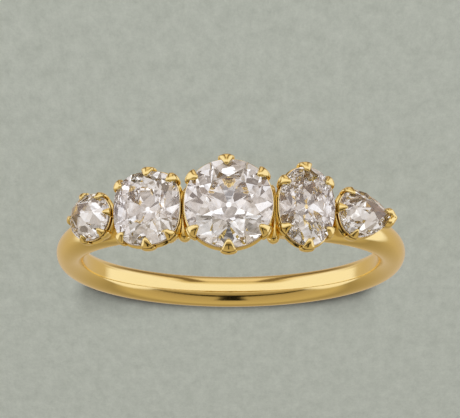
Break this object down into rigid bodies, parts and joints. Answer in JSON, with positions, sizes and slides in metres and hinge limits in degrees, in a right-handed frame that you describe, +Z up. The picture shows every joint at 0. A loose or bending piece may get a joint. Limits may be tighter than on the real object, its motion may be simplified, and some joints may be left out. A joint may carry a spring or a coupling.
{
  "type": "five stone ring",
  "caption": "Gold finger ring with a row of mixed antique cut diamonds: small round, cushion, large near round, oval and pear, each in a claw collet on a slim oval wire shank.",
  "frame": {"origin": "middle of the base of the box round the ring, which lies on its side on the floor", "axes": "+Z up, close to the finger's own axis; the head of stones points to -Y and the back of the shank to +Y; the round stone is towards +X and the pear towards -X"},
  "size_m": [0.0202, 0.0222, 0.0055],
  "materials": {
    "gold": "polished",
    "diamond": "faceted"
  },
  "bodies": {
    "root": {"ring_mount": "gold", "round_rose_stone": "diamond", "cushion_stone": "diamond", "centre_stone": "diamond", "oval_stone": "diamond", "pear_rose_stone": "diamond"}
  },
  "joints": []
}
